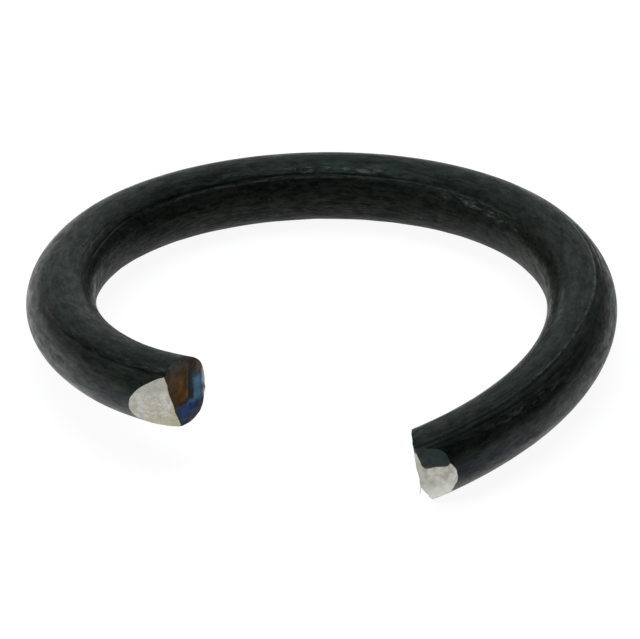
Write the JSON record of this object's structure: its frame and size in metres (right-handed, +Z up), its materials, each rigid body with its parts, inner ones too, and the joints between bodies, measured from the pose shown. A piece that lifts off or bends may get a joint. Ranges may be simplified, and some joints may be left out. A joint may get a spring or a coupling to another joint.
{
  "type": "circlip retaining ring",
  "caption": "Open ring of round dark steel wire with pinched-off ends and a wide mouth, sprung into a groove to hold a part along a shaft or bore.",
  "frame": {"origin": "middle of the ring's bounding box on the floor that it lies on", "axes": "+Z up off the floor, +Y from the mouth towards the back of the ring, +X from the high tip towards the low tip"},
  "size_m": [0.0252, 0.0286, 0.0052],
  "materials": {
    "oxide_steel": "black oxide, worn, with bright broken ends"
  },
  "bodies": {
    "root": {"retaining_ring": "oxide_steel"}
  },
  "joints": []
}
